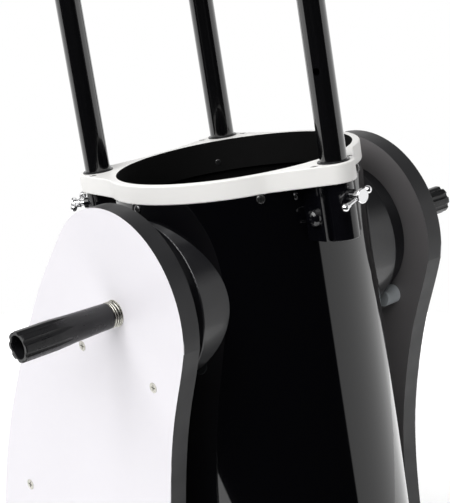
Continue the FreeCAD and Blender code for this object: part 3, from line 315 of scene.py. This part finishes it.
def dark_casting():
    """Die casting in fine black crinkle paint."""
    s = Shader("black_cast_paint", (0.012, 0.012, 0.013), 0.36)
    # Sharp edges painted lighter: partly rubbed wear, partly a painted edge highlight.
    s.color_from(s.mix(s.edge_wear_and_highlight(0.6), (0.012, 0.012, 0.013), (0.06, 0.06, 0.06)))
    s.roughness_from(s.ramp(s.noise(90, 5.0), 0.3, 0.7, 0.28, 0.44))
    s.bump(s.noise(700, 4.0, 0.7), 0.25, 0.0003)
    return s.material


def powder_coat():
    s = Shader("black_powder_coat", (0.014, 0.014, 0.014), 0.48)
    s.color_from(s.mix(s.ramp(s.noise(25, 4.0), 0.3, 0.7), (0.012, 0.012, 0.012), (0.019, 0.019, 0.019)))
    s.roughness_from(s.ramp(s.noise(120, 4.0), 0.3, 0.7, 0.42, 0.56))
    s.bump(s.spots(1500), 0.15, 0.0002)
    return s.material


def rubber():
    s = Shader("black_rubber", (0.013, 0.013, 0.013), 0.72, specular=0.3)
    s.color_from(s.mix(s.ramp(s.noise(40, 5.0), 0.3, 0.7), (0.011, 0.011, 0.011), (0.020, 0.020, 0.019)))
    s.roughness_from(s.ramp(s.noise(80, 4.0), 0.3, 0.7, 0.64, 0.82))
    s.bump(s.noise(900, 4.0), 0.2, 0.0003)
    return s.material


def nylon():
    s = Shader("pale_nylon", (0.46, 0.49, 0.51), 0.40)
    s.set("Subsurface Weight", 0.1)
    s.set("Subsurface Radius", (0.003, 0.003, 0.003))
    s.color_from(s.mix(s.ramp(s.noise(60, 4.0), 0.3, 0.7), (0.42, 0.45, 0.47), (0.50, 0.53, 0.55)))
    s.roughness_from(s.ramp(s.noise(200, 4.0), 0.3, 0.7, 0.34, 0.46))
    s.bump(s.noise(500, 3.0), 0.08, 0.0002)
    return s.material


def knurled_aluminium():
    s = Shader("satin_aluminium", (0.58, 0.58, 0.59), 0.28, metallic=1.0)
    s.color_from(s.mix(s.ramp(s.noise(150, 4.0), 0.3, 0.7), (0.52, 0.52, 0.53), (0.66, 0.66, 0.67)))
    s.roughness_from(s.ramp(s.noise(400, 4.0), 0.3, 0.7, 0.22, 0.36))
    return s.material


def mirror_coating():
    """Aluminised glass with a faintly mottled tone."""
    s = Shader("aluminised_mirror", (0.90, 0.91, 0.92), 0.02, metallic=1.0)
    s.roughness_from(s.ramp(s.noise(25, 6.0), 0.45, 0.8, 0.012, 0.05))
    s.color_from(s.mix(s.ramp(s.noise(14, 4.0), 0.4, 0.8), (0.91, 0.92, 0.93), (0.86, 0.87, 0.88)))
    return s.material


def lens_coating():
    """Coated glass: dark, with a green and violet reflection by angle."""
    s = Shader("coated_lens", (0.02, 0.035, 0.04), 0.03, coat=1.0, coat_roughness=0.01)
    s.set("Transmission Weight", 0.35)
    facing = s.node("ShaderNodeLayerWeight").outputs["Facing"]
    s.color_from(s.mix(s.ramp(facing, 0.1, 0.7), (0.015, 0.06, 0.045), (0.06, 0.03, 0.09)))
    s.roughness_from(s.ramp(s.noise(60, 4.0), 0.4, 0.8, 0.02, 0.06))
    return s.material


MATERIALS = {
    "dark_laminate_board": dark_board(), "white_laminate": white_laminate(), "black_rubber": rubber(),
    "white_nylon": nylon(), "zinc_steel": nickel_steel(), "black_plastic": satin_plastic(),
    "gloss_black_plastic": gloss_plastic(), "matte_black_plastic": matte_plastic(),
    "black_steel": powder_coat(), "gloss_black_tube": gloss_tube(), "satin_black_rods": anodised_rod(),
    "white_casting": white_casting(), "black_casting": dark_casting(), "black_screws": dark_screw_steel(),
    "chrome_steel": chrome(), "chrome_tube": chrome(), "knurled_aluminium": knurled_aluminium(),
    "mirror_glass": mirror_coating(), "lens_glass": lens_coating(),
}

SLOT_OF = {part["node"]: part["material_slot"] for part in frame["record"]["subparts"]}


def paint(piece, slot):
    piece.data.materials.clear()
    piece.data.materials.append(MATERIALS[slot])


for name, piece in NODES.items():
    paint(piece, SLOT_OF[name])


# ---- Mesh helpers ----
def finished(name, body, slot, vertices, faces, replaces=(), sharp_degrees=35.0):
    """A mesh piece in the row frame that rides on a body, smooth except across sharp corners."""
    mesh = bpy.data.meshes.new(name)
    mesh.from_pydata([tuple(v) for v in vertices], [], faces)
    builder = bmesh.new()
    builder.from_mesh(mesh)
    bmesh.ops.remove_doubles(builder, verts=builder.verts, dist=1e-6)
    bmesh.ops.recalc_face_normals(builder, faces=builder.faces)
    builder.to_mesh(mesh)
    builder.free()
    mesh.shade_smooth()
    mesh.set_sharp_from_angle(angle=math.radians(sharp_degrees))
    piece = bpy.data.objects.new(name, mesh)
    bpy.context.scene.collection.objects.link(piece)
    paint(piece, slot)
    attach(piece, body)
    if replaces:
        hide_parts(*replaces)
    return piece


def axes_for(direction):
    """Two unit vectors square to a direction."""
    direction = Vector(direction).normalized()
    helper = Vector((0, 0, 1)) if abs(direction.z) < 0.9 else Vector((0, 1, 0))
    side = direction.cross(helper).normalized()
    return side, direction.cross(side).normalized()


def turned(profile, base, axis, steps=64):
    """Vertices and faces of (radius, height) points turned about an axis; closed where a radius is zero."""
    side, up = axes_for(axis)
    axis = Vector(axis).normalized()
    vertices, faces = [], []
    for step in range(steps):
        angle = 2 * math.pi * step / steps
        outward = side * math.cos(angle) + up * math.sin(angle)
        vertices += [Vector(base) + outward * r + axis * h for r, h in profile]
    count = len(profile)
    for step in range(steps):
        here, there = step * count, (step + 1) % steps * count
        for i in range(count - 1):
            faces.append((here + i, there + i, there + i + 1, here + i + 1))
    return vertices, faces


def swept(path, radius, sides=12):
    """A capped tube along a list of points, with its frame carried along the path."""
    vertices, faces = [], []
    normal = None
    for i, point in enumerate(path):
        ahead = path[min(i + 1, len(path) - 1)] - path[max(i - 1, 0)]
        tangent = ahead.normalized()
        if normal is None:
            normal = axes_for(tangent)[0]
        normal = (normal - tangent * normal.dot(tangent)).normalized()
        binormal = tangent.cross(normal)
        for side in range(sides):
            angle = 2 * math.pi * side / sides
            vertices.append(point + (normal * math.cos(angle) + binormal * math.sin(angle)) * radius)
    for i in range(len(path) - 1):
        for side in range(sides):
            after = (side + 1) % sides
            here, there = i * sides, (i + 1) * sides
            faces.append((here + side, here + after, there + after, there + side))
    faces.append(tuple(range(sides - 1, -1, -1)))
    faces.append(tuple(range((len(path) - 1) * sides, len(path) * sides)))
    return vertices, faces


def joined(*shapes):
    vertices, faces = [], []
    for part_vertices, part_faces in shapes:
        start = len(vertices)
        vertices += part_vertices
        faces += [tuple(index + start for index in face) for face in part_faces]
    return vertices, faces


def helix(base, axis, radius, wire, height, turns, steps=40):
    """A compression spring with flat closed ends, height high over its wire."""
    side, up = axes_for(axis)
    axis = Vector(axis).normalized()
    rise = height - 2 * wire
    path = []
    total = int(turns * steps)
    for i in range(total + 1):
        share = i / total
        eased = min(max((share * turns - 0.5) / (turns - 1.0), 0.0), 1.0)
        angle = 2 * math.pi * turns * share
        outward = side * math.cos(angle) + up * math.sin(angle)
        path.append(Vector(base) + outward * radius + axis * (wire + rise * eased))
    return swept(path, wire)


# ---- Added pieces ----
def tension_spring(name, direction):
    """The coil spring and washer between a side panel and its handle."""
    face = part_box("panel_facings")[1].x
    axis = Vector((direction, 0, 0))
    start = Vector((direction * face, ALTITUDE.y, ALTITUDE.z))
    bore, rim, chamfer, thick = 0.0060, 0.0130, 0.0004, 0.0012
    washer = [(bore, 0.0), (rim - chamfer, 0.0), (rim, 0.0003), (rim, 0.0009), (rim - chamfer, thick),
              (bore, thick), (bore, 0.0)]
    coil = helix(start + axis * thick, axis, radius=0.0117, wire=0.00075, height=0.0072, turns=2.9)
    finished(name, "rocker_box", "zinc_steel", *joined(turned(washer, start, axis, 72), coil),
             replaces=["tension_springs"])


def mirror_spring(name, angle):
    """A coil spring between the cell's end plate and the mirror cell."""
    plate_z, circle = -0.487, 0.078
    turn = math.radians(angle)
    base = TUBE_FRAME @ Vector((circle * math.cos(turn), circle * math.sin(turn), plate_z))
    coil = helix(base, TUBE_AXIS, radius=0.0056, wire=0.0009, height=0.0097, turns=4.2, steps=28)
    finished(name, "optical_tube", "zinc_steel", *coil, replaces=["collimation_springs"])


def mirror_centre_mark():
    """The small ring mark at the middle of the primary mirror."""
    face_z = 0.554 - 0.995
    inner, outer, foot = 0.0030, 0.0060, 0.00003
    mark = [(inner, foot), (inner, 0.00018), (outer, 0.00020), (outer, foot), (inner, foot)]
    finished("mirror_centre_mark", "optical_tube", "black_rubber",
             *turned(mark, TUBE_FRAME @ Vector((0, 0, face_z)), TUBE_AXIS, 48))


tension_spring("tension_spring_right", 1.0)
tension_spring("tension_spring_left", -1.0)
for number, spring_angle in enumerate((90.0, 210.0, 330.0), 1):
    mirror_spring("collimation_spring_%d" % number, spring_angle)
mirror_centre_mark()


# ---- Light, floor and camera ----
def area_light(name, location, size, power):
    """A rectangular light that faces the altitude axis."""
    light = bpy.data.lights.new(name, "AREA")
    light.shape = "RECTANGLE"
    light.size, light.size_y = size
    light.energy = power
    holder = bpy.data.objects.new(name, light)
    holder.location = location
    holder.rotation_euler = (ALTITUDE - location).to_track_quat("-Z", "Y").to_euler()
    bpy.context.scene.collection.objects.link(holder)


def make_floor():
    """A pale disc for the shadows, small enough to stay out of the tube's reflections."""
    radius, steps = 1.15, 96
    turns = [2 * math.pi * i / steps for i in range(steps)]
    rim = [(radius * math.cos(turn), radius * math.sin(turn), 0.0) for turn in turns]
    mesh = bpy.data.meshes.new("floor")
    mesh.from_pydata(rim, [], [tuple(range(steps))])
    floor = bpy.data.objects.new("floor", mesh)
    s = Shader("studio_floor", (0.94, 0.94, 0.94), 0.75, specular=0.1)
    s.set("Emission Color", (1.0, 1.0, 1.0, 1.0))
    glow = s.ramp(s.radius(s.coordinates), 0.5, radius, 0.38, 0.85)
    s.link(glow, s.bsdf.inputs["Emission Strength"])
    s.roughness_from(s.ramp(s.noise(2.0), 0.3, 0.7, 0.7, 0.8))
    mesh.materials.append(s.material)
    bpy.context.scene.collection.objects.link(floor)


SWEEP_MIDDLE, SWEEP_HALF = 45.0, 107.0     # degrees of azimuth that the lit backdrop spans
SWEEP_LIGHT, ROOM_LIGHT, CEILING_LIGHT = 0.98, 0.01, 0.40


def make_world():
    """A white backdrop to look at; it lights one side of a dark room, and the ceiling is pale."""
    world = bpy.data.worlds.new("studio")
    world.use_nodes = True
    tree = world.node_tree
    room = tree.nodes["Background"]
    room.inputs["Color"].default_value = (1.0, 1.0, 1.0, 1.0)

    def node(kind, **settings):
        made = tree.nodes.new(kind)
        for key, value in settings.items():
            setattr(made, key, value)
        return made

    def ramp(value, low, high, start, end):
        convert = node("ShaderNodeMapRange")
        for socket, number in (("From Min", low), ("From Max", high), ("To Min", start), ("To Max", end)):
            convert.inputs[socket].default_value = number
        tree.links.new(value, convert.inputs["Value"])
        return convert.outputs["Result"]

    def maths(operation, first, second=None):
        made = node("ShaderNodeMath", operation=operation)
        tree.links.new(first, made.inputs[0])
        if second:
            tree.links.new(second, made.inputs[1])
        return made.outputs["Value"]

    turn = node("ShaderNodeVectorRotate", rotation_type="Z_AXIS")
    turn.inputs["Angle"].default_value = math.radians(SWEEP_MIDDLE)
    tree.links.new(node("ShaderNodeTexCoord").outputs["Generated"], turn.inputs["Vector"])
    split = node("ShaderNodeSeparateXYZ")
    tree.links.new(turn.outputs["Vector"], split.inputs["Vector"])
    azimuth = maths("ABSOLUTE", maths("ARCTAN2", split.outputs["X"], split.outputs["Y"]))
    edge = math.radians(SWEEP_HALF)
    sweep = maths("MULTIPLY", ramp(azimuth, edge - 0.01, edge + 0.01, SWEEP_LIGHT, ROOM_LIGHT),
                  ramp(split.outputs["Z"], 0.35, 0.60, 1.0, 0.1))
    ceiling = ramp(split.outputs["Z"], 0.70, 0.95, 0.0, CEILING_LIGHT)
    tree.links.new(maths("MAXIMUM", sweep, ceiling), room.inputs["Strength"])

    backdrop = node("ShaderNodeBackground")
    backdrop.inputs["Color"].default_value = (1.0, 1.0, 1.0, 1.0)
    backdrop.inputs["Strength"].default_value = 1.0
    chosen = node("ShaderNodeMixShader")
    tree.links.new(node("ShaderNodeLightPath").outputs["Is Camera Ray"], chosen.inputs["Fac"])
    tree.links.new(room.outputs["Background"], chosen.inputs[1])
    tree.links.new(backdrop.outputs["Background"], chosen.inputs[2])
    tree.links.new(chosen.outputs["Shader"], tree.nodes["World Output"].inputs["Surface"])
    bpy.context.scene.world = world


CAMERA_LENS = 111.43                        # millimetres
CAMERA_FROM_ALTITUDE = Vector((-0.92453, -1.04554, 0.62257))
CAMERA_AZIMUTH, CAMERA_DOWN = 40.444, 23.531


def make_camera():
    """Looks down at the rod ring from the left rear, at 23.5 degrees below level."""
    camera = bpy.data.cameras.new("camera")
    camera.lens = CAMERA_LENS
    camera.sensor_width = 36.0
    holder = bpy.data.objects.new("camera", camera)
    holder.location = ALTITUDE + CAMERA_FROM_ALTITUDE
    azimuth, down = math.radians(CAMERA_AZIMUTH), math.radians(CAMERA_DOWN)
    level = math.cos(down)
    forward = Vector((math.sin(azimuth) * level, math.cos(azimuth) * level, -math.sin(down)))
    holder.rotation_euler = forward.to_track_quat("-Z", "Y").to_euler()
    bpy.context.scene.collection.objects.link(holder)
    bpy.context.scene.camera = holder


def around(azimuth, elevation, distance):
    """A point that far from the altitude axis; azimuth 0 is +Y and 90 is +X."""
    a, e = math.radians(azimuth), math.radians(elevation)
    return ALTITUDE + Vector((math.sin(a) * math.cos(e), math.cos(a) * math.cos(e), math.sin(e))) * distance


make_world()
make_floor()
make_camera()
area_light("key", around(-68.0, 48.0, 2.3), (1.3, 1.3), 24.0)
area_light("fill", around(-116.0, 48.0, 2.4), (2.2, 1.6), 46.0)
bpy.context.scene.view_settings.view_transform = "Standard"
